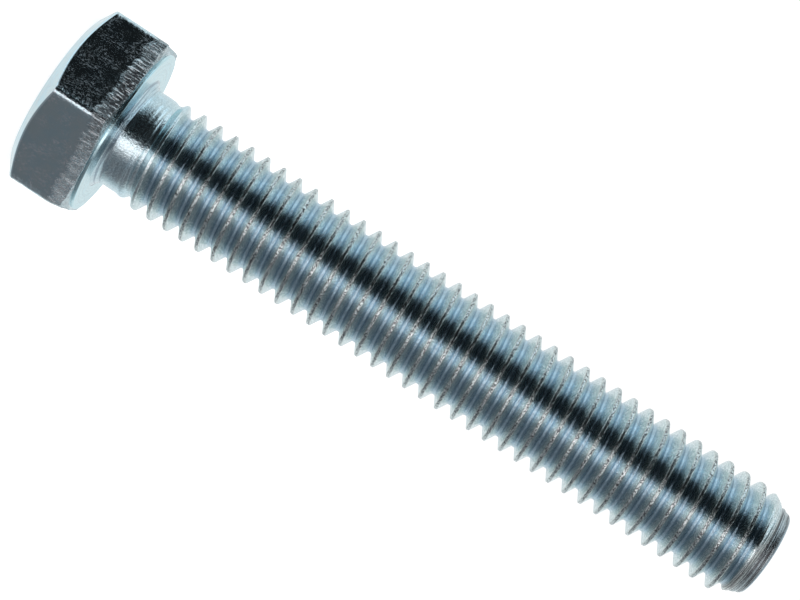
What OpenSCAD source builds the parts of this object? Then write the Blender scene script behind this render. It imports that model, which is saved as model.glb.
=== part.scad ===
// Hex bolt, M8 x 1.25 x 50, threaded up to the head, right-hand thread, zinc plated.
// The origin is the centre of the bearing face under the head. +Z runs along the shank
// to the point, the head fills the space below z = 0, and two wrench flats face +X and -X.
// A real hex bolt is one forged and rolled piece of steel. Each module is one region of
// that piece, and neighbouring regions meet face to face.

/* [Head] */
// Width across the flats, just under the 13 mm of the spanner
across_flats = 12.75; // [12.5:0.05:13]
// Height of the head from the bearing face to the flat top
head_h = 5.18; // [4.6:0.02:6.5]
// Diameter of the flat circle inside the top chamfer
top_d = 11; // [10.5:0.1:12.2]
// Angle of the top chamfer to the flat top
chamfer_angle = 30; // [15:1:35]
// Height of the band by the bearing side where the trimming die sheared the flats inwards
shear_h = 1; // [0.3:0.05:1.5]
// How far each flat draws in over that band
shear_draw = 0.2; // [0.05:0.05:0.3]

/* [Washer face] */
// Diameter of the raised disc that bears on the clamped part
washer_d = 12; // [11:0.1:12]
// Height of the disc below the hexagon
washer_h = 0.15; // [0.15:0.05:0.6]
// Radius of the disc's rounded edge
washer_edge_r = 0.07; // [0.03:0.01:0.12]

/* [Neck] */
// Diameter of the unthreaded neck, which is the blank before rolling
neck_d = 7.2; // [7:0.05:7.4]
// Radius of the fillet between the neck and the bearing face
neck_fillet_r = 0.55; // [0.2:0.05:0.6]
// Distance from the bearing face to the first trace of thread
neck_len = 1.45; // [0.8:0.05:2]

/* [Thread] */
// Diameter over the crests
crest_d = 7.8; // [7.6:0.01:8]
// Diameter at the roots
root_d = 6.35; // [6.3:0.05:6.6]
// Axial distance from one crest to the next
pitch = 1.25; // [1.2:0.05:1.5]
// Axial width of each crest
crest_w = 0.2; // [0.1:0.01:0.25]
// Axial length over which the thread grows from the neck to its full depth
runout_len = 1.7; // [0.6:0.1:2.5]
// Distance from the bearing face to a crest on the +X side
first_crest_z = 3.18; // [2.6:0.01:3.6]
// Straight steps in one turn of the helix
turn_steps = 30; // [16:2:36]

/* [Point] */
// Length from the bearing face to the end of the point
shank_len = 50.2; // [20:0.2:60]
// Diameter of the flat end face
end_d = 6; // [5:0.1:6.2]
// Length of the plain cone next to the end face
point_len = 0.7; // [0.5:0.05:1.2]
// Length over which the last turns are incomplete, before the plain cone
lead_len = 1.4; // [0.8:0.05:2.5]

/* [Hidden] */
$fn = 96;

plating = "lightsteelblue";
across_corners = across_flats / cos(30);
shear_angle = atan(shear_draw / shear_h);
flank_w = (crest_d - root_d) / 2 * tan(30);
// The neck's solid passes through the disc down to the hexagon, as wide as its fillet's foot.
foot_r = neck_d / 2 + neck_fillet_r;
thread_end_z = shank_len - point_len;

// One pitch of the thread: distance from the middle of a crest, and radius.
THREAD_PROFILE = [
    [-crest_w / 2, crest_d / 2],
    [crest_w / 2, crest_d / 2],
    [crest_w / 2 + flank_w, root_d / 2],
    [pitch - crest_w / 2 - flank_w, root_d / 2]
];
profile_steps = len(THREAD_PROFILE);

// Rows start over a pitch below the neck's end, so that the flat end ring closes the thread.
first_turn = floor((neck_len - first_crest_z) / pitch) - 2;
turns = ceil((thread_end_z - neck_len) / pitch) + 4;
rows = turns * profile_steps;
// A point nearer than this to an end plane joins that plane's ring.
snap = pitch / turn_steps * 0.7;

// Height of the point at angle step i on profile row q.
function row_z(i, q) =
    first_crest_z + pitch * (first_turn + i / turn_steps + floor(q / profile_steps))
    + THREAD_PROFILE[q % profile_steps][0];

// Share of the full thread depth, rising smoothly from the neck.
function depth_share(z) =
    let (t = min(max((z - neck_len) / runout_len, 0), 1))
    t * t * (3 - 2 * t);

// Largest radius that the tapered point leaves over the last turns.
function lead_r(z) =
    lookup(thread_end_z - z, [
        [0, root_d / 2],
        [lead_len * 0.55, root_d / 2 + (crest_d - root_d) * 0.33],
        [lead_len, crest_d / 2]
    ]);

function row_r(z, q) =
    min(neck_d / 2 + depth_share(z) * (THREAD_PROFILE[q % profile_steps][1] - neck_d / 2),
        lead_r(z));

function on_circle(i, r, z) = [r * cos(360 * i / turn_steps), r * sin(360 * i / turn_steps), z];

// Index of a thread point: the two end rings come first, then the rows. One full step round
// the shank arrives one pitch higher, so the last angle step is the first one of a later row.
function point_at(i, q) =
    i == turn_steps ? point_at(0, q + profile_steps)
    : row_z(i, q) < neck_len + snap ? i
    : row_z(i, q) > thread_end_z - snap ? turn_steps + i
    : 2 * turn_steps + q * turn_steps + i;

// True for a triangle whose three corners are three different points.
function is_open(t) = t[0] != t[1] && t[1] != t[2] && t[2] != t[0];

module hex_head() {
    rim_r = across_corners / 2 + 0.1;
    color(plating)
    intersection() {
        difference() {
            translate([0, 0, -head_h])
                rotate(30)
                    cylinder(d = across_corners, h = head_h - washer_h, $fn = 6);
            for (side = [0 : 5])
                rotate(60 * side)
                    translate([across_flats / 2, -across_flats / 2, -washer_h - shear_h])
                        rotate([0, -shear_angle, 0])
                            translate([0, 0, -shear_h])
                                cube([2 * shear_h, across_flats, 3 * shear_h]);
        }
        rotate_extrude()
            polygon([
                [0, -head_h],
                [top_d / 2, -head_h],
                [rim_r, -head_h + (rim_r - top_d / 2) * tan(chamfer_angle)],
                [rim_r, 0],
                [0, 0]
            ]);
    }
}

module washer_face() {
    rim_r = washer_d / 2 - washer_edge_r;
    color(plating)
    rotate_extrude() {
        translate([foot_r, -washer_h])
            square([rim_r - foot_r, washer_h]);
        translate([foot_r, -washer_h])
            square([washer_d / 2 - foot_r, washer_h - washer_edge_r]);
        translate([rim_r, -washer_edge_r])
            circle(r = washer_edge_r);
    }
}

module neck() {
    color(plating)
    rotate_extrude() {
        translate([0, -washer_h])
            square([foot_r, washer_h]);
        square([neck_d / 2, neck_len]);
        difference() {
            square([foot_r, neck_fillet_r]);
            translate([foot_r, neck_fillet_r])
                circle(r = neck_fillet_r);
        }
    }
}

module threaded_shank() {
    neck_ring = [for (i = [0 : turn_steps - 1]) on_circle(i, neck_d / 2, neck_len)];
    end_ring = [for (i = [0 : turn_steps - 1]) on_circle(i, root_d / 2, thread_end_z)];
    row_points = [
        for (q = [0 : rows - 1])
            for (i = [0 : turn_steps - 1])
                on_circle(i, row_r(row_z(i, q), q), row_z(i, q))
    ];
    triangles = [
        for (q = [0 : rows - profile_steps - 2])
            for (i = [0 : turn_steps - 1])
                for (t = [
                    [point_at(i, q), point_at(i, q + 1), point_at(i + 1, q)],
                    [point_at(i + 1, q), point_at(i, q + 1), point_at(i + 1, q + 1)]
                ])
                    if (is_open(t)) t
    ];
    neck_end = [for (i = [0 : turn_steps - 1]) i];
    point_end = [for (i = [turn_steps - 1 : -1 : 0]) turn_steps + i];
    color(plating)
        polyhedron(concat(neck_ring, end_ring, row_points), concat([neck_end, point_end], triangles));
}

module chamfered_point() {
    color(plating)
        translate([0, 0, thread_end_z])
            cylinder(h = point_len, r1 = root_d / 2, r2 = end_d / 2);
}

hex_head();
washer_face();
neck();
threaded_shank();
chamfered_point();
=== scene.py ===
"""Looks of the hex bolt, bright zinc on a forged head, a bearing disc and a rolled shank."""

import math

import bpy
import numpy as np
from mathutils import Matrix, Vector


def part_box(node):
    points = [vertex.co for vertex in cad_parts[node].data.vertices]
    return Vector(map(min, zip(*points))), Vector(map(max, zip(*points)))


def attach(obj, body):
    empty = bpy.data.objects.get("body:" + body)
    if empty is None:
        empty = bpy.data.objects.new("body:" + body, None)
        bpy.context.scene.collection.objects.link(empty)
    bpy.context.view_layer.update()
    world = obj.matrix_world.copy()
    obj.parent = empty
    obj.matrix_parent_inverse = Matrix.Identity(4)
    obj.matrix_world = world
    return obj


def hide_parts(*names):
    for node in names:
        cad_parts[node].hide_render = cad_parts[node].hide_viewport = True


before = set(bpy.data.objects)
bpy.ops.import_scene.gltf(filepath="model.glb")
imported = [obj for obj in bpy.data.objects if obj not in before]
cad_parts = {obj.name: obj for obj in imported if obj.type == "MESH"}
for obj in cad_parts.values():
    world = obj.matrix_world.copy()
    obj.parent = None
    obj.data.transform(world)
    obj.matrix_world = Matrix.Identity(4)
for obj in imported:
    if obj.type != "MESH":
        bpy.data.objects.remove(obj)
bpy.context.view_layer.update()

MM = 0.001
TURN = 2 * math.pi
SIXTH = math.pi / 3


def box_mm(node):
    """A CAD node's lowest and highest corners in millimetres."""
    low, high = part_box(node)
    return low / MM, high / MM


# ---------------------------------------------------------------- sizes in mm
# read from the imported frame
head_low, head_high = box_mm("hex_head")
disc_low, disc_high = box_mm("washer_face")
APOTHEM = head_high.x
HEAD_TOP = head_low.z
HEAD_UNDER = disc_low.z
DISC_R = disc_high.x
SHANK_END = box_mm("chamfered_point")[1].z

# the head: its top circle and chamfer, its sloping underside, the sheared band and the edges
TOP_R = 5.5
CHAMFER = math.radians(30)
UNDER_R = 6.2
UNDER_ANGLE = math.radians(12)
SHEAR_H = 1.0
SHEAR_DRAW = 0.2
EDGE_R = 0.46
FACE_COLUMNS = 91
EDGE_COLUMNS = 13
RAGGED_CELL = 0.17
# the relief stays this far inside the flats
RELIEF_ROOM = 0.022
# the roundings of the section's corners
TOP_ROUND = 0.16
CHAMFER_ROUND = 0.12
SHEAR_ROUND = 0.30
RIM_ROUND = 0.07
# the bearing-side rim: how far it lies below the underside's slope, how far the burr stands up,
# and how much is missing on the short side, at the rim and next to the disc
RIM_DROP = 0.045
BURR_H = 0.22
SHORT_LOSS = 0.42
SHORT_LOSS_INSIDE = 0.4
# the radius at which the hidden middle of the underside begins
HEAD_CORE_R = 2.0
# angles round the head: a burred corner, the side drawn in least, the side broken off short and
# the middle of the deepest drag marks
BURR_CORNER = math.radians(210)
LEAST_DRAWN = math.radians(228)
SHORT_SIDE = math.radians(180)
WILD_SIDE = math.radians(246)

# the bearing disc
DISC_EDGE_R = 0.07
DISC_COLUMNS = 240
# how far it is sunk into the head, how far inside the fillet's foot its close rows end, and the
# radius at which its hidden middle begins
DISC_SUNK = 0.05
DISC_OVERLAP = 0.3
DISC_CORE_R = 1.0
# how uneven its rim is, and in how many cells round it
DISC_RELIEF = 0.012
DISC_CELLS = 60

# the neck and its fillet
NECK_R = 3.6
FILLET_R = 0.55
FOOT_R = NECK_R + FILLET_R
NECK_LEN = 1.45

# the thread
RUNOUT = 1.7
CREST_R = 3.9
ROOT_R = 3.175
PITCH = 1.25
CREST_W = 0.20
FIRST_CREST = 3.178
FLANK_SLOPE = math.tan(math.radians(60))
ROUNDING = 0.024
SEAM_W = 0.05
SEAM_DEPTH = 0.012

# the lead: the largest radius that the last turns and the point's cone leave at each height
LEAD_Z = [48.12, 48.52, 49.12, 49.42, 49.72, 50.02]
LEAD_R = [4.1, 3.82, 3.46, 3.26, 3.16, 3.04]
LEAD_SOFTNESS = 0.03


# ---------------------------------------------------------------- helpers
NOISE_CELLS = 512


def smooth(x, low, high):
    """Smoothstep of x from low to high."""
    t = np.clip((x - low) / (high - low), 0, 1)
    return t * t * (3 - 2 * t)


def hump(theta, centre, width):
    """1 at one angle round the bolt, falling off to 0 on both sides of it."""
    return np.exp(-((np.angle(np.exp(1j * (theta - centre))) / width) ** 2))


def value_noise(u, v, seed, wrap=NOISE_CELLS):
    """Smooth noise from -1 to 1, one cell per unit of u and v. u repeats after wrap cells."""
    table = np.random.default_rng(seed).uniform(-1, 1, (NOISE_CELLS, wrap))
    iu, iv = np.floor(u).astype(int), np.floor(v).astype(int)
    fu, fv = u - iu, v - iv
    fu, fv = fu * fu * (3 - 2 * fu), fv * fv * (3 - 2 * fv)
    u0, u1 = iu % wrap, (iu + 1) % wrap
    v0, v1 = iv % NOISE_CELLS, (iv + 1) % NOISE_CELLS
    low = table[v0, u0] * (1 - fu) + table[v0, u1] * fu
    high = table[v1, u0] * (1 - fu) + table[v1, u1] * fu
    return low * (1 - fv) + high * fv


def make_mesh(name, points_mm, faces, attributes=None):
    """A smooth-shaded mesh object from points in millimetres."""
    mesh = bpy.data.meshes.new(name)
    mesh.from_pydata((np.asarray(points_mm) * MM).tolist(), [], faces)
    mesh.update()
    mesh.shade_smooth()
    for key, values in (attributes or {}).items():
        values = np.asarray(values, np.float32)
        kind, field = ("FLOAT_VECTOR", "vector") if values.ndim == 2 else ("FLOAT", "value")
        mesh.attributes.new(key, kind, "POINT").data.foreach_set(field, values.ravel())
    piece = bpy.data.objects.new(name, mesh)
    bpy.context.scene.collection.objects.link(piece)
    return piece


def grid_faces(first, columns, rings):
    """Quads between closed rings. They face outward if the rings rise and run anticlockwise."""
    i = np.arange(columns)
    j = np.arange(rings - 1)[:, None] * columns + first
    nxt = (i + 1) % columns
    quads = np.stack([j + i, j + nxt, j + nxt + columns, j + i + columns], -1)
    return quads.reshape(-1, 4).tolist()


def fan_faces(centre, ring, upward):
    """Triangles from a ring to its middle vertex."""
    ring = list(ring)
    pairs = zip(ring, ring[1:] + ring[:1])
    return [[a, b, centre] if upward else [b, a, centre] for a, b in pairs]


def bend(before, corner, after, size, count):
    """Rows that round off a corner of a profile. Each row is an array of (r, z) by column."""
    def towards(a, b):
        d = b - a
        return d / np.maximum(np.linalg.norm(d, axis=0), 1e-9)

    start = corner + towards(corner, before) * size
    stop = corner + towards(corner, after) * size
    ts = np.linspace(0, 1, count)
    return [start * (1 - t) ** 2 + corner * 2 * t * (1 - t) + stop * t * t for t in ts]


def between(a, b, count):
    """Rows spaced evenly between two rows, without those two."""
    return [a * (1 - t) + b * t for t in np.linspace(0, 1, count + 2)[1:-1]]


def turned_skin(rows, directions):
    """Points and faces of a closed skin from (r, z) rows, lowest first, along these directions."""
    columns = directions.shape[1]
    points = [[0, 0, rows[0][1].mean()]]
    for row in rows:
        points += np.stack([row[0] * directions[0], row[0] * directions[1], row[1]], 1).tolist()
    points.append([0, 0, rows[-1][1].mean()])
    faces = fan_faces(0, range(1, columns + 1), False)
    faces += grid_faces(1, columns, len(rows))
    faces += fan_faces(len(points) - 1, range(len(points) - 1 - columns, len(points) - 1), True)
    return points, faces


# ---------------------------------------------------------------- head
def hex_outline():
    """The hexagon with rounded corners: its points, the distance along it, and its girth."""
    half = (APOTHEM - EDGE_R) * math.tan(SIXTH / 2)
    along = np.linspace(-half, half, FACE_COLUMNS)
    turn_in = np.linspace(-SIXTH / 2, SIXTH / 2, EDGE_COLUMNS)[1:-1]
    centre = (APOTHEM - EDGE_R) / math.cos(SIXTH / 2)
    xs, ys = [], []
    for side in range(6):
        face = side * SIXTH
        corner = face + SIXTH / 2
        xs += list(APOTHEM * math.cos(face) - along * math.sin(face))
        ys += list(APOTHEM * math.sin(face) + along * math.cos(face))
        xs += list(centre * math.cos(corner) + EDGE_R * np.cos(corner + turn_in))
        ys += list(centre * math.sin(corner) + EDGE_R * np.sin(corner + turn_in))
    xs, ys = np.array(xs), np.array(ys)
    step = np.hypot(np.diff(xs, append=xs[0]), np.diff(ys, append=ys[0]))
    return xs, ys, np.concatenate([[0], np.cumsum(step)[:-1]]), step.sum()


def head_piece():
    """The forged head as one closed skin. The sheared band, drag marks and corners are relief."""
    xs, ys, run, girth = hex_outline()
    reach = np.hypot(xs, ys)
    one = np.ones_like(reach)
    cells = int(girth / RAGGED_CELL)
    around = run / girth * cells
    theta = np.arctan2(ys, xs)
    corner = 1 - smooth(np.abs(theta % SIXTH - SIXTH / 2), 0.02, 0.07)
    burr = hump(theta, BURR_CORNER, 0.06)
    short = hump(theta, SHORT_SIDE, 0.24)
    wild = 0.12 + 0.88 * hump(theta, WILD_SIDE, 0.7)

    # the bearing-side rim, drawn in and left ragged by the trimming die
    drawn_in = np.sqrt(0.5 - 0.5 * np.cos(theta - LEAST_DRAWN)) * (1 - short) * (1 - 0.9 * burr)
    draw = SHEAR_DRAW * drawn_in * (1 + 0.25 * value_noise(around * 0.35, one * 6, 13))
    ragged = 0.035 * value_noise(around, one * 2.5, 12, cells)
    ragged = ragged + 0.03 * value_noise(around * 0.3, one * 9, 14)
    rim = reach * (1 - draw / APOTHEM)
    under = HEAD_UNDER - np.maximum(rim - UNDER_R, 0) * math.tan(UNDER_ANGLE)
    shear_z = HEAD_UNDER - SHEAR_H
    shear_z = shear_z + 0.16 * value_noise(around * 0.7, one * 3, 15)
    shear_z = shear_z + 0.08 * value_noise(around * 0.12, one, 16)

    # the section's corners, from the head's top to its underside
    top_edge = np.stack([one * TOP_R, one * HEAD_TOP])
    chamfer_edge = np.stack([reach, HEAD_TOP + (reach - TOP_R) * math.tan(CHAMFER)])
    shear_edge = np.stack([reach, shear_z])
    low_edge = np.stack([rim, under + ragged - RIM_DROP + BURR_H * burr - SHORT_LOSS * short])
    # the underside passes below the disc's rim, and rises into the disc out of sight
    step_z = HEAD_UNDER - DISC_SUNK - SHORT_LOSS_INSIDE * short
    step = np.stack([one * (DISC_R - DISC_SUNK), step_z])
    inner = np.stack([one * (DISC_R - 2 * DISC_SUNK), one * HEAD_UNDER])
    core = np.stack([one * HEAD_CORE_R, one * HEAD_UNDER])

    rows = [np.stack([one * r, one * HEAD_TOP]) for r in np.linspace(0.5, TOP_R - 0.4, 9)]
    rows += bend(rows[-1], top_edge, chamfer_edge, TOP_ROUND, 6)
    rounded = bend(top_edge, chamfer_edge, shear_edge, CHAMFER_ROUND, 7)
    rows += between(rows[-1], rounded[0], 12) + rounded
    rounded = bend(chamfer_edge, shear_edge, low_edge, SHEAR_ROUND, 6)
    rows += between(rows[-1], rounded[0], 62) + rounded
    rounded = bend(shear_edge, low_edge, step, RIM_ROUND, 6)
    rows += between(rows[-1], rounded[0], 16) + rounded
    rows += between(rows[-1], step, 5) + [step, inner, core]

    # relief on the sides: orange peel on the forged flats, drag marks and grit on the sheared band
    profile = np.array(rows)
    z = profile[:, 1, :]
    s = np.broadcast_to(around, z.shape)
    side = smooth(profile[:, 0, :], TOP_R + 0.3, TOP_R + 0.8) * smooth(HEAD_UNDER - z, 0.0, 0.1)
    torn = smooth(z - shear_z, -0.32, 0.22) * side
    fringe = smooth(z - shear_z, -0.75, 0.05) * side
    peel = value_noise(s * 0.55, z * 3.2, 21) * 0.0018 + value_noise(s * 0.2, z * 1.1, 22) * 0.004
    ridges = value_noise(s, z * 0.7, 31, cells) * 0.030
    ridges = ridges + value_noise(s + 0.4, z * 2.2, 32, cells) * 0.012
    grit = value_noise(s, z * 9.0, 33, cells) * 0.006
    notches = value_noise(s * 0.3, z * 5.5, 34) * 0.012 + value_noise(s, z * 12, 35, cells) * 0.006
    relief = peel + ((ridges - 0.01) * wild + grit) * torn + notches * corner * (1 - torn)
    profile[:, 0, :] += (relief - RELIEF_ROOM) * side

    points, faces = turned_skin(list(profile), np.stack([xs / reach, ys / reach]))
    attributes = {"torn": torn, "wild": torn * wild, "fringe": fringe, "corner": corner * side}
    padded = {key: np.pad(values.ravel(), 1) for key, values in attributes.items()}
    return make_mesh("forged_hex_head", points, faces, padded)


# ---------------------------------------------------------------- bearing disc
def disc_piece():
    """The raised bearing disc under the head: a closed plate with a rounded rim."""
    theta = np.linspace(0, TURN, DISC_COLUMNS, endpoint=False)
    one = np.ones(DISC_COLUMNS)
    around = theta / TURN * DISC_CELLS
    rim = DISC_R - DISC_RELIEF + DISC_RELIEF * value_noise(around, one * 4, 41, DISC_CELLS)
    bottom, top = one * (HEAD_UNDER - DISC_SUNK), one * 0.0
    outer_low = np.stack([rim, bottom])
    outer_high = np.stack([rim, top])
    inner = np.stack([one * (FOOT_R - DISC_OVERLAP), top])
    rounded = bend(outer_low, outer_high, inner, DISC_EDGE_R, 9)
    rows = [np.stack([one * DISC_CORE_R, bottom]), outer_low]
    rows += between(outer_low, rounded[0], 3) + rounded
    rows += between(rounded[-1], inner, 26) + [inner, np.stack([one * DISC_CORE_R, top])]
    points, faces = turned_skin(rows, np.stack([np.cos(theta), np.sin(theta)]))
    return make_mesh("bearing_disc", points, faces)


# ---------------------------------------------------------------- shank
COLUMNS = 92
# rows in one pitch, by their distance from the crest's middle, closest where the section turns
HALF_CREST = np.array([0.04, 0.08, 0.108, 0.133, 0.16])
HALF_FLANK_AND_ROOT = np.array([0.22, 0.31, 0.40, 0.455, 0.505, 0.555, 0.60])
ROW_STEPS = np.concatenate([-HALF_CREST[::-1], [0], HALF_CREST, HALF_FLANK_AND_ROOT,
                            PITCH - HALF_FLANK_AND_ROOT[::-1]])
# the rows follow the helix between these heights, and those nearer than SNAP to an end join it
HELIX_LOW = FILLET_R + 0.02
HELIX_HIGH = SHANK_END - 0.2
SNAP = 0.004
# the rows start this many pitches before the first crest, with a few pitches to spare
PITCHES_BEFORE = 4
PITCHES_SPARE = 3
SPARE_BELOW = 0.2
# points in one pitch of the section, and how many on each side its rounding takes in
PROFILE_POINTS = 625
ROUNDING_REACH = 90

# the fillet's section as (share of its radius inwards, share of its radius upwards): flat at the
# disc, a long cone, then a quick turn into the neck
FILLET_CURVE = [(0.03, 0.0), (0.14, 0.012), (0.22, 0.05), (0.30, 0.11), (0.50, 0.28), (0.70, 0.45),
                (0.86, 0.59), (0.93, 0.67), (0.975, 0.76), (0.995, 0.87), (1.0, 1.0)]
# the end's rounded edge and flat face as (distance inwards from the rim, distance below the end)
END_CURVE = [(0.06, 0.10), (0.13, 0.03), (0.24, 0.004), (0.45, 0.0), (1.2, 0.0), (2.4, 0.0)]


def thread_profile():
    """Radius against distance from the crest's middle, with steep flanks, rounded at both ends."""
    t = np.linspace(-PITCH / 2, PITCH / 2, PROFILE_POINTS + 1)[:-1]
    radius = CREST_R - np.maximum(np.abs(t) - CREST_W / 2, 0) * FLANK_SLOPE
    radius = np.maximum(radius, ROOT_R)
    away = np.arange(-ROUNDING_REACH, ROUNDING_REACH + 1) * (t[1] - t[0])
    kernel = np.exp(-0.5 * (away / ROUNDING) ** 2)
    wrapped = np.concatenate([radius[-ROUNDING_REACH:], radius, radius[:ROUNDING_REACH]])
    return t, np.convolve(wrapped, kernel / kernel.sum(), "valid")


PROFILE_T, PROFILE_R = thread_profile()


def shank_radius(theta, z):
    """The shank's radius at an angle and a height, from the neck to the point."""
    phase = z - FIRST_CREST - PITCH * theta / TURN
    turns = np.round(phase / PITCH)
    t = phase - turns * PITCH
    along = (theta + TURN * turns) * CREST_R
    zero = t * 0
    thread = np.interp(t, PROFILE_T, PROFILE_R, period=PITCH)

    # the fold along each crest, fine waves on the crests and rolling lines between them
    crest = 1 - smooth(np.abs(t), 0.05, 0.145)
    seam = np.exp(-((t - 0.014 * value_noise(along * 0.8, zero + 1, 51)) / SEAM_W) ** 2)
    depth = 0.25 + 0.75 * smooth(value_noise(along * 2.6, zero + 2, 52), -0.5, 0.5)
    thread = thread - seam * depth * SEAM_DEPTH
    thread = thread + crest * 0.004 * value_noise(along * 4.5, t * 8, 53)
    thread = thread + (1 - crest) * 0.003 * value_noise(along * 0.4, t * 13 + 40, 54)

    # the neck, with the first traces of the thread
    circle = theta / TURN
    neck = NECK_R + 0.006 * value_noise(circle * 30, z * 1.5, 55, 30)
    trace = 0.012 * value_noise(circle * 5, z * 5.5, 57, 5)
    trace = trace + 0.006 * value_noise(circle * 9, z * 10, 58, 9)
    neck = neck + trace * smooth(z, 0.8, 1.5)
    share = smooth(z, NECK_LEN, NECK_LEN + RUNOUT)
    radius = neck * (1 - share) + thread * share

    # the lead's cone, met with a soft edge
    lead = np.interp(z, LEAD_Z, LEAD_R)
    lead = lead + 0.02 * value_noise(circle * 24, z * 3, 56, 24)
    lead = lead + 0.035 * value_noise(circle * 5, z * 6, 59, 5) * smooth(z, 48.9, 49.2)
    blend = LEAD_SOFTNESS * np.log1p(np.exp(-np.abs(radius - lead) / LEAD_SOFTNESS))
    return np.minimum(radius, lead) - blend


def ring_points(radius, height, theta):
    """Points round one ring."""
    x, y = radius * np.cos(theta), radius * np.sin(theta)
    return np.stack([x, y, height + 0 * theta], 1).tolist()


# heights over which the material's regions grow or fade, and where the lips lie beside a crest
CUT_GROWS, CUT_FADES = (2.6, 5.6), (48.3, 49.2)
END_GROWS, END_FADES = (48.9, 49.3), (50.05, 50.15)
NECK_FADES, FOOT_FADES = (2.2, 3.6), (0.35, 0.6)
CREST_FADES = (0.085, 0.14)
LIP_AT, LIP_W = 0.125, 0.026
# how far the end's region leans
END_LEAN = 0.25


def shank_attributes(points):
    """For the material: the thread's own coordinates, and how far each point is in each region."""
    z = points[:, 2]
    radius = np.hypot(points[:, 0], points[:, 1])
    angle = np.arctan2(points[:, 1], points[:, 0])
    turned = (z - FIRST_CREST - PITCH * angle / TURN) * TURN / PITCH
    lay = PITCH / TURN
    t = np.abs((turned + math.pi) % TURN - math.pi) * lay
    cut = smooth(z, *CUT_GROWS) * (1 - smooth(z, *CUT_FADES))
    leaning = z + END_LEAN * np.cos(angle)
    return {
        "helix": np.stack(
            [z * TURN * NECK_R / PITCH, lay * np.cos(turned), lay * np.sin(turned)], 1),
        "crest": (1 - smooth(t, *CREST_FADES)) * cut,
        "lips": np.exp(-(((t - LIP_AT) / LIP_W) ** 2)) * cut,
        "height": np.clip((radius - ROOT_R) / (CREST_R - ROOT_R), 0, 1),
        "neck": 1 - smooth(z, *NECK_FADES),
        "end": smooth(leaning, *END_GROWS) * (1 - smooth(z, *END_FADES)),
        "foot": 1 - smooth(z, *FOOT_FADES),
    }


def shank_piece():
    """Neck, thread and point as one closed skin. Its rows follow the helix, for crisp crests."""
    low, high = HELIX_LOW, HELIX_HIGH
    theta = np.arange(COLUMNS) * TURN / COLUMNS
    per_turn = len(ROW_STEPS)
    count = int((high - low) / PITCH) + PITCHES_BEFORE + PITCHES_SPARE
    crests = FIRST_CREST - PITCH * PITCHES_BEFORE + np.arange(count)[:, None] * PITCH
    levels = (crests + ROW_STEPS).ravel()
    levels = levels[levels > low - PITCH - SPARE_BELOW]
    levels = levels[: (np.searchsorted(levels, high) + 1)]
    z = levels[None, :] + PITCH * theta[:, None] / TURN
    below, above = z <= low + SNAP, z >= high - SNAP
    inside = ~(below | above)

    # the foot and the fillet, up to the ring that the thread's rows start from
    foot = [(FOOT_R, HEAD_UNDER), (FOOT_R, HEAD_UNDER / 2)]
    foot += [(FOOT_R - FILLET_R * inset, FILLET_R * rise) for inset, rise in FILLET_CURVE[:-1]]
    points = [[0, 0, HEAD_UNDER]]
    for radius, height in foot:
        points += ring_points(radius, height, theta)
    low_ring = len(points)
    points += ring_points(shank_radius(theta, theta * 0 + low), low, theta)
    faces = fan_faces(0, range(1, 1 + COLUMNS), False)
    faces += grid_faces(1, COLUMNS, len(foot) + 1)

    # the helical rows, whose ends join the low and the high ring
    ids = np.zeros(z.shape, int)
    ids[inside] = len(points) + np.arange(inside.sum())
    angles = np.broadcast_to(theta[:, None], z.shape)[inside]
    points += ring_points(shank_radius(angles, z[inside]), z[inside], angles)
    high_ring = len(points)
    rim = shank_radius(theta, theta * 0 + high)
    points += ring_points(rim, high, theta)
    column = np.broadcast_to(np.arange(COLUMNS)[:, None], z.shape)
    ids[below] = low_ring + column[below]
    ids[above] = high_ring + column[above]

    last_row = z.shape[1] - 1
    j = np.arange(-per_turn, last_row)
    for i in range(COLUMNS):
        k = (i + 1) % COLUMNS
        shift = 0 if k else per_turn
        here, there = ids[i, np.clip(j, 0, last_row)], ids[i, np.clip(j + 1, 0, last_row)]
        beside = ids[k, np.clip(j + shift, 0, last_row)]
        across = ids[k, np.clip(j + 1 + shift, 0, last_row)]
        for p, q, u, v in zip(here.tolist(), beside.tolist(), across.tolist(), there.tolist()):
            if p == v and q == u:
                continue
            faces.append([p, q, u] if p == v else [p, q, v] if q == u else [p, q, u, v])

    # the rounded end edge and the flat end
    i = np.arange(COLUMNS)
    k = (i + 1) % COLUMNS
    last = high_ring
    for inset, drop in END_CURVE:
        start = len(points)
        points += ring_points(rim - inset, SHANK_END - drop, theta)
        faces += np.stack([last + i, last + k, start + k, start + i], 1).tolist()
        last = start
    points.append([0, 0, SHANK_END])
    faces += fan_faces(len(points) - 1, range(last, last + COLUMNS), True)

    points = np.array(points)
    return make_mesh("rolled_shank", points, faces, shank_attributes(points))


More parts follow.
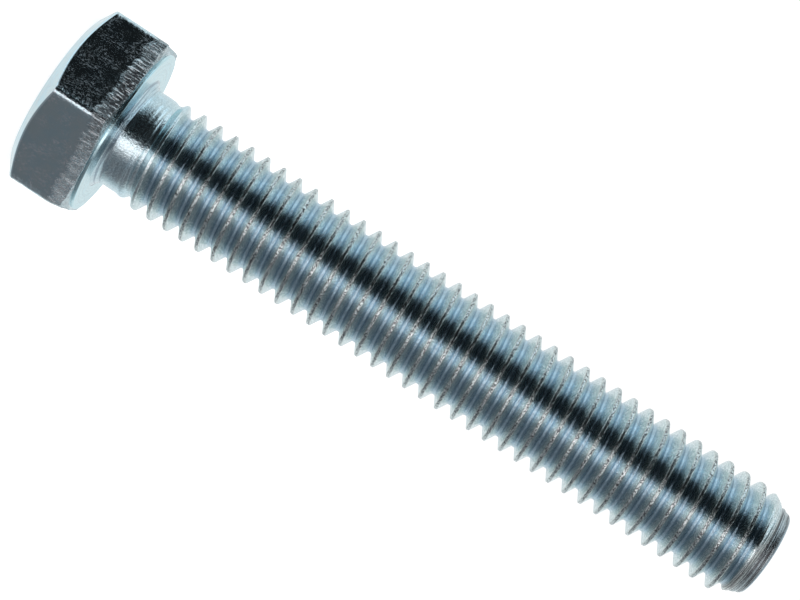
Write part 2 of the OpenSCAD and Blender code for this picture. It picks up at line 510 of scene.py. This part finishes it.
# ---------------------------------------------------------------- materials
class Graph:
    """A short way to write a node material."""

    def __init__(self, name):
        self.material = bpy.data.materials.new(name)
        self.material.use_nodes = True
        self.tree = self.material.node_tree
        self.tree.nodes.clear()
        self.output = self.node("ShaderNodeOutputMaterial")

    def node(self, kind, settings=None, **inputs):
        """A node with these settings, whose inputs are set or linked."""
        n = self.tree.nodes.new(kind)
        for key, value in (settings or {}).items():
            setattr(n, key, value)
        for key, value in inputs.items():
            self.feed(n.inputs[key.replace("_", " ")], value)
        return n

    def feed(self, socket, value):
        """Links another node's output to a socket, or sets the socket to a plain value."""
        if isinstance(value, bpy.types.NodeSocket):
            self.tree.links.new(value, socket)
        else:
            socket.default_value = value

    def math(self, operation, a, b, clamp=False):
        n = self.node("ShaderNodeMath", {"operation": operation, "use_clamp": clamp})
        self.feed(n.inputs[0], a)
        self.feed(n.inputs[1], b)
        return n.outputs[0]

    def times(self, a, b):
        return self.math("MULTIPLY", a, b)

    def plus(self, a, b):
        return self.math("ADD", a, b)

    def minus(self, a, b, clamp=False):
        return self.math("SUBTRACT", a, b, clamp)

    def larger(self, a, b):
        return self.math("MAXIMUM", a, b)

    def remap(self, value, low, high, to_low, to_high):
        """A smooth ramp from to_low to to_high while value goes from low to high."""
        n = self.node("ShaderNodeMapRange", {"clamp": True, "interpolation_type": "SMOOTHSTEP"},
                      From_Min=low, From_Max=high, To_Min=to_low, To_Max=to_high)
        self.feed(n.inputs["Value"], value)
        return n.outputs["Result"]

    def mix(self, share, a, b):
        n = self.node("ShaderNodeMix", {"data_type": "RGBA"})
        self.feed(n.inputs[0], share)
        self.feed(n.inputs[6], a)
        self.feed(n.inputs[7], b)
        return n.outputs[2]

    def noise(self, vector, scale, detail=3.0, rough=0.55):
        n = self.node("ShaderNodeTexNoise", Scale=scale, Detail=detail, Roughness=rough)
        self.tree.links.new(vector, n.inputs["Vector"])
        return n.outputs["Fac"]

    def stretched(self, vector, scale):
        """Coordinates with each axis scaled, so that detail is finer where the scale is larger."""
        n = self.node("ShaderNodeMapping")
        n.inputs["Scale"].default_value = scale
        self.tree.links.new(vector, n.inputs["Vector"])
        return n.outputs["Vector"]

    def bump(self, height, distance_mm, normal=None):
        """A normal that height disturbs, on top of another normal."""
        n = self.node("ShaderNodeBump", Strength=1.0, Distance=distance_mm * MM)
        self.tree.links.new(height, n.inputs["Height"])
        if normal is not None:
            self.tree.links.new(normal, n.inputs["Normal"])
        return n.outputs["Normal"]

    def attribute(self, name, output="Fac"):
        return self.node("ShaderNodeAttribute", {"attribute_name": name}).outputs[output]

    def millimetres(self):
        """Object coordinates in millimetres."""
        scale = self.node("ShaderNodeVectorMath", {"operation": "SCALE"})
        self.tree.links.new(self.node("ShaderNodeTexCoord").outputs["Object"], scale.inputs[0])
        scale.inputs["Scale"].default_value = 1 / MM
        return scale.outputs[0]

    def metal(self, colour, roughness, normal):
        shader = self.node("ShaderNodeBsdfPrincipled",
                           Metallic=1.0, Base_Color=colour, Roughness=roughness, Normal=normal)
        self.tree.links.new(shader.outputs[0], self.output.inputs["Surface"])
        return self.material


ZINC = (0.60, 0.765, 0.83, 1)
ZINC_WARM = (0.65, 0.77, 0.80, 1)
DISC_ZINC = (0.55, 0.77, 0.83, 1)
DISC_WARM = (0.59, 0.775, 0.81, 1)
ZINC_GREEN = (0.735, 0.838, 0.818, 1)
ROOT_BLUE_AND_SHADE = (0.42, 0.585, 0.70, 1)
SLATE = (0.24, 0.30, 0.36, 1)
GLINT = (0.93, 0.94, 0.96, 1)
TAN = (0.50, 0.47, 0.41, 1)
STEEL_GREY = (0.50, 0.55, 0.55, 1)
CREST_GREY = (0.36, 0.36, 0.365, 1)
SPECK_GREY = (0.70, 0.68, 0.71, 1)
# near black, used as painted shade in gaps and pits
PAINTED_SHADE = (0.075, 0.075, 0.08, 1)


def head_zinc():
    """Zinc on forged steel, with specks, rough corners and a torn band by the bearing side, whose
    gaps between drag marks carry painted shade.
    """
    g = Graph("zinc_on_forging")
    p = g.millimetres()
    torn, wild = g.attribute("torn"), g.attribute("wild")
    fringe, corner = g.attribute("fringe"), g.attribute("corner")
    cloud = g.noise(p, 0.9, 3)
    patch = g.noise(p, 0.8, 2, 0.6)
    grain = g.noise(p, 6.0, 4, 0.6)
    fine = g.noise(g.stretched(p, (11.0, 11.0, 5.5)), 1.0, 3, 0.6)
    streak = g.noise(g.stretched(p, (9.0, 9.0, 1.4)), 1.0, 3, 0.6)
    grit = g.noise(p, 11.0, 2, 0.6)

    # specks in patches on the flats, and thickly towards the calm part of the band
    thick = g.larger(g.remap(patch, 0.40, 0.60, 0.25, 1.0), g.minus(fringe, wild, True))
    specks = g.times(g.remap(fine, 0.42, 0.64, 0.0, 1.0), thick)
    calm = g.minus(torn, wild, True)
    # painted shade: the gaps between the drag marks on the band's wild side are coloured near
    # black
    gap_shade = g.times(wild, g.remap(streak, 0.515, 0.57, 1.0, 0.0))
    peaks = g.times(wild, g.remap(streak, 0.56, 0.61, 0.0, 1.0))

    colour = g.mix(g.remap(cloud, 0.35, 0.65, 0.0, 1.0), ZINC, ZINC_WARM)
    colour = g.mix(g.times(torn, g.remap(fine, 0.4, 0.62, 0.1, 0.8)), colour, STEEL_GREY)
    colour = g.mix(g.times(specks, 0.6), colour, SPECK_GREY)
    colour = g.mix(gap_shade, colour, PAINTED_SHADE)
    colour = g.mix(peaks, colour, GLINT)

    rough = g.plus(0.06, g.times(specks, 0.19))
    rough = g.plus(rough, g.times(calm, g.remap(grit, 0.42, 0.58, 0.12, 0.50)))
    rough = g.plus(rough, g.times(peaks, 0.30))

    normal = g.bump(grain, 0.003)
    normal = g.bump(g.times(streak, wild), 0.075, normal)
    normal = g.bump(g.times(grit, torn), 0.028, normal)
    normal = g.bump(g.times(fine, corner), 0.02, normal)
    return g.metal(colour, rough, normal)


def disc_zinc():
    """Zinc on the struck bearing disc: smooth, with faint clouding and fainter rings."""
    g = Graph("zinc_on_disc")
    p = g.millimetres()
    cloud = g.noise(p, 0.8, 3)
    grain = g.noise(p, 5.0, 4, 0.6)
    flat = g.node("ShaderNodeVectorMath", {"operation": "LENGTH"})
    g.tree.links.new(g.stretched(p, (1.0, 1.0, 0.0)), flat.inputs[0])
    place = g.node("ShaderNodeCombineXYZ",
                   X=g.times(flat.outputs["Value"], 4.0), Y=g.times(cloud, 2.0))
    rings = g.noise(place.outputs[0], 1.0, 2, 0.6)
    colour = g.mix(g.remap(cloud, 0.35, 0.65, 0.0, 1.0), DISC_ZINC, DISC_WARM)
    colour = g.mix(g.remap(rings, 0.50, 0.40, 0.0, 0.16), colour, SLATE)
    rough = g.remap(grain, 0.3, 0.7, 0.12, 0.22)
    return g.metal(colour, rough, g.bump(rings, 0.010, g.bump(grain, 0.010)))


def shank_zinc():
    """Zinc on rolled thread: bluer roots darkened with painted shade, greener flanks, crests with
    painted shade in their pits, and lines by the helix.
    """
    g = Graph("zinc_on_thread")
    p = g.millimetres()
    helix = g.attribute("helix", "Vector")
    crest, lips, height = g.attribute("crest"), g.attribute("lips"), g.attribute("height")
    neck, foot, end = g.attribute("neck"), g.attribute("foot"), g.attribute("end")
    thread = g.minus(1.0, neck)
    flank = g.times(thread, g.remap(height, 0.05, 0.3, 0.0, 1.0))
    cloud = g.noise(p, 0.7, 3)
    grain = g.noise(p, 11.0, 3, 0.6)
    dots = g.noise(p, 10.0, 2, 0.6)
    sparks = g.noise(p, 9.5, 2, 0.6)
    speckle = g.noise(p, 6.0, 2, 0.6)
    lines = g.noise(g.stretched(helix, (2.6, 17.0, 17.0)), 1.0, 3, 0.6)
    scuff = g.noise(g.stretched(helix, (6.0, 11.0, 11.0)), 1.0, 3, 0.65)
    streaks = g.noise(g.stretched(helix, (2.4, 13.0, 13.0)), 1.0, 3, 0.65)
    rings = g.noise(g.stretched(helix, (0.9, 5.0, 5.0)), 1.0, 3, 0.6)
    ripple = g.noise(g.stretched(helix, (3.2, 4.5, 4.5)), 1.0, 2, 0.5)
    foot_rings = g.noise(g.stretched(p, (0.25, 0.25, 9.0)), 1.0, 2, 0.6)

    # roots, flanks and crests
    colour = g.mix(g.remap(cloud, 0.35, 0.65, 0.0, 1.0), ZINC, ZINC_WARM)
    # the roots: partly a bluer tint, partly painted shade that darkens the bottom of the groove
    colour = g.mix(g.remap(height, 0.14, 0.02, 0.0, 0.85), colour, ROOT_BLUE_AND_SHADE)
    colour = g.mix(g.times(thread, g.remap(height, 0.05, 0.65, 0.0, 1.0)), colour, ZINC_GREEN)
    colour = g.mix(g.times(neck, g.remap(dots, 0.40, 0.60, 0.3, 0.0)), colour, SLATE)
    colour = g.mix(g.times(thread, g.remap(streaks, 0.35, 0.65, 0.2, 0.0)), colour, SLATE)
    colour = g.mix(g.times(thread, g.remap(dots, 0.44, 0.59, 0.42, 0.0)), colour, SLATE)
    colour = g.mix(g.times(flank, g.remap(sparks, 0.55, 0.64, 0.0, 0.95)), colour, GLINT)
    colour = g.mix(g.times(crest, g.remap(scuff, 0.36, 0.56, 0.75, 0.0)), colour, CREST_GREY)

    # wear on the lips and the end, rings and painted shade on the fillet's foot, and painted shade
    # in the pits
    worn = g.larger(g.times(lips, g.remap(scuff, 0.42, 0.60, 0.0, 0.7)), g.times(end, 0.45))
    colour = g.mix(worn, colour, TAN)
    # the fillet's foot by the disc: dark rings as marks, and an even darkening as painted shade in
    # the corner
    colour = g.mix(g.times(foot, g.remap(foot_rings, 0.54, 0.42, 0.12, 0.8)), colour, SLATE)
    # painted shade: dark specks in the pits of the crests and the end
    crest_pit_shade = g.times(crest, g.remap(dots, 0.50, 0.43, 0.0, 0.93))
    end_pit_shade = g.times(end, g.remap(rings, 0.53, 0.46, 0.0, 0.9))
    colour = g.mix(g.larger(crest_pit_shade, end_pit_shade), colour, PAINTED_SHADE)

    rough = g.plus(g.remap(lines, 0.3, 0.7, 0.07, 0.13), g.times(neck, 0.03))

    normal = g.bump(g.times(lines, g.minus(1.0, g.times(neck, 0.7))), 0.009)
    normal = g.bump(grain, 0.0045, normal)
    normal = g.bump(g.times(ripple, thread), 0.007, normal)
    normal = g.bump(g.times(speckle, neck), 0.018, normal)
    normal = g.bump(g.times(speckle, thread), 0.005, normal)
    normal = g.bump(g.times(g.plus(lines, dots), end), 0.010, normal)
    normal = g.bump(g.times(scuff, crest), 0.0015, normal)
    return g.metal(colour, rough, normal)


def dress(piece, material, nodes):
    """Gives a piece its material and slot, hides the CAD nodes that it stands in for, and puts it
    on the bolt's one body.
    """
    piece.data.materials.append(material)
    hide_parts(*nodes)
    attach(piece, "root")


dress(head_piece(), head_zinc(), ["hex_head"])
dress(disc_piece(), disc_zinc(), ["washer_face"])
dress(shank_piece(), shank_zinc(), ["neck", "threaded_shank", "chamfered_point"])


# ---------------------------------------------------------------- camera
# the view is almost square on to the bolt, and rolled so that the bolt runs down to the right
CAMERA_AZIMUTH = math.radians(0.5)
CAMERA_TILT = math.radians(0.3)
CAMERA_ROLL = math.radians(33.37)
CAMERA_TARGET = Vector((-0.795, 0, 21.085)) * MM
CAMERA_DISTANCE = 152.1 * MM
SENSOR = 36
LENS = 104.4
CLIP_START = 0.005


def aim_camera():
    """The long-lens product view."""
    azimuth, tilt, roll = CAMERA_AZIMUTH, CAMERA_TILT, CAMERA_ROLL
    look = Vector((math.sin(azimuth) * math.cos(tilt), math.cos(azimuth) * math.cos(tilt),
                   -math.sin(tilt)))
    axis = Vector((0, 0, 1))
    across = (axis - look * axis.dot(look)).normalized()
    side = across.cross(look)
    right = across * math.cos(roll) + side * math.sin(roll)
    up = side * math.cos(roll) - across * math.sin(roll)
    turned = Matrix((right, up, -look)).transposed().to_4x4()
    data = bpy.data.cameras.new("camera")
    data.sensor_width, data.lens, data.clip_start = SENSOR, LENS, CLIP_START
    camera = bpy.data.objects.new("camera", data)
    bpy.context.scene.collection.objects.link(camera)
    camera.matrix_world = Matrix.Translation(CAMERA_TARGET - look * CAMERA_DISTANCE) @ turned
    bpy.context.scene.camera = camera


aim_camera()


# ---------------------------------------------------------------- studio
# the tent's radius in mm, and its cloths' tints
TENT_R = 420.0
TENT_COLUMNS = 240
COOL = (0.86, 1.0, 1.08)
NEUTRAL = (0.93, 1.0, 1.02)
SOFTBOX = (1.02, 0.985, 1.0)
GREY = (0.93, 0.975, 1.05)
# azimuth in degrees from the camera's side towards -X, the tent's brightness there, and its tint
TENT = [
    (-180, 0.90, NEUTRAL), (-140, 0.95, NEUTRAL), (-116, 0.47, NEUTRAL), (-100, 0.30, GREY),
    (-80, 0.275, GREY), (-54, 0.275, GREY), (-43, 0.36, GREY), (-32, 0.62, SOFTBOX),
    (-23, 1.45, SOFTBOX), (-7, 1.75, SOFTBOX), (-4, 0.40, COOL), (0, 0.035, COOL),
    (53.5, 0.035, COOL), (59, 0.42, COOL), (65, 0.88, COOL), (79, 1.25, COOL),
    (93, 1.20, COOL), (112, 0.90, NEUTRAL), (135, 0.95, NEUTRAL), (180, 0.90, NEUTRAL),
]
# the same where the black flag is wide
TENT_WIDE = [
    (-180, 0.90, NEUTRAL), (-140, 0.95, NEUTRAL), (-116, 0.45, NEUTRAL), (-100, 0.20, GREY),
    (-80, 0.16, GREY), (-54, 0.16, GREY), (-46, 0.31, GREY), (-38, 0.60, SOFTBOX),
    (-27, 1.5, SOFTBOX), (-8, 1.7, SOFTBOX), (-4, 0.30, COOL), (1, 0.012, COOL),
    (73, 0.012, COOL), (84, 0.50, COOL), (95, 0.85, NEUTRAL), (112, 0.90, NEUTRAL),
    (135, 0.95, NEUTRAL), (180, 0.90, NEUTRAL),
]
# heights in mm where the flag grows wide and narrows again: low down, where the head's reflections
# meet it, and well above the bolt
WIDE_BANDS = [(-170.0, -140.0, -48.0, -24.0), (150.0, 190.0, 300.0, 380.0)]
# heights of the tent's rows in mm, as (lowest, highest, count), closest together near the bolt
TENT_ROWS = [(-2600, -750, 8), (-700, -110, 18), (-100, 100, 51), (110, 520, 30), (600, 2600, 8)]
# radii of the table's rings in mm
TABLE_RINGS = [40, 200, 1200, 8000, 60000]
TABLE_COLUMNS = 48
SKY_STRENGTH = 1.06


def tent_colour(azimuth, stops):
    """The tent's colour at each azimuth."""
    places = [place for place, _, _ in stops]
    channels = [[bright * tint[c] for _, bright, tint in stops] for c in range(3)]
    return np.stack([np.interp(azimuth, places, channel) for channel in channels], 1)


def tent_piece():
    """A cylinder of light that only reflections see, with a flag, a softbox and a grey side."""
    angles = np.radians(np.linspace(-180, 180, TENT_COLUMNS + 1))
    heights = np.concatenate([np.linspace(*rows) for rows in TENT_ROWS])
    n = len(angles)
    grid_h, grid_a = np.repeat(heights, n), np.tile(angles, len(heights))
    points = np.stack([-TENT_R * np.sin(grid_a), -TENT_R * np.cos(grid_a), grid_h], 1)
    starts = [j * n + i for j in range(len(heights) - 1) for i in range(n - 1)]
    faces = [[k, k + 1, k + n + 1, k + n] for k in starts]
    wide = sum(smooth(grid_h, a, b) - smooth(grid_h, c, d) for a, b, c, d in WIDE_BANDS)[:, None]
    azimuth = np.degrees(grid_a)
    glow = tent_colour(azimuth, TENT) * (1 - wide) + tent_colour(azimuth, TENT_WIDE) * wide
    tent = make_mesh("light_tent", points, faces, {"glow": glow})

    g = Graph("tent_cloth")
    weave = g.remap(g.noise(g.millimetres(), 0.01, 2), 0.3, 0.7, 0.94, 1.06)
    light = g.node("ShaderNodeEmission", Color=g.attribute("glow", "Color"), Strength=weave)
    g.tree.links.new(light.outputs[0], g.output.inputs["Surface"])
    g.material.cycles.emission_sampling = "NONE"
    tent.data.materials.append(g.material)
    tent.visible_camera = tent.visible_diffuse = tent.visible_shadow = False


def table_piece():
    """A plain white light table that the bolt stands on, head down."""
    angles = np.linspace(0, TURN, TABLE_COLUMNS, endpoint=False)
    points = [[0, 0, HEAD_TOP]]
    for r in TABLE_RINGS:
        points += [[r * math.cos(a), r * math.sin(a), HEAD_TOP] for a in angles]
    faces = fan_faces(0, range(1, TABLE_COLUMNS + 1), True)
    faces += [face[::-1] for face in grid_faces(1, TABLE_COLUMNS, len(TABLE_RINGS))]
    table = make_mesh("light_table", points, faces)

    g = Graph("table_white")
    tone = g.remap(g.noise(g.millimetres(), 0.02, 2), 0.3, 0.7, 0.78, 0.80)
    shader = g.node("ShaderNodeBsdfPrincipled", Base_Color=(0.5, 0.5, 0.5, 1), Roughness=0.9,
                    Emission_Color=(1, 1, 1, 1), Emission_Strength=tone)
    g.tree.links.new(shader.outputs[0], g.output.inputs["Surface"])
    g.material.cycles.emission_sampling = "NONE"
    table.data.materials.append(g.material)
    table.visible_glossy = False


def sky():
    """Even white studio light from everywhere."""
    world = bpy.data.worlds.new("studio")
    world.use_nodes = True
    background = world.node_tree.nodes["Background"]
    background.inputs["Color"].default_value = (1, 1, 1, 1)
    background.inputs["Strength"].default_value = SKY_STRENGTH
    bpy.context.scene.world = world


tent_piece()
table_piece()
sky()
bpy.context.scene.view_settings.view_transform = "Standard"
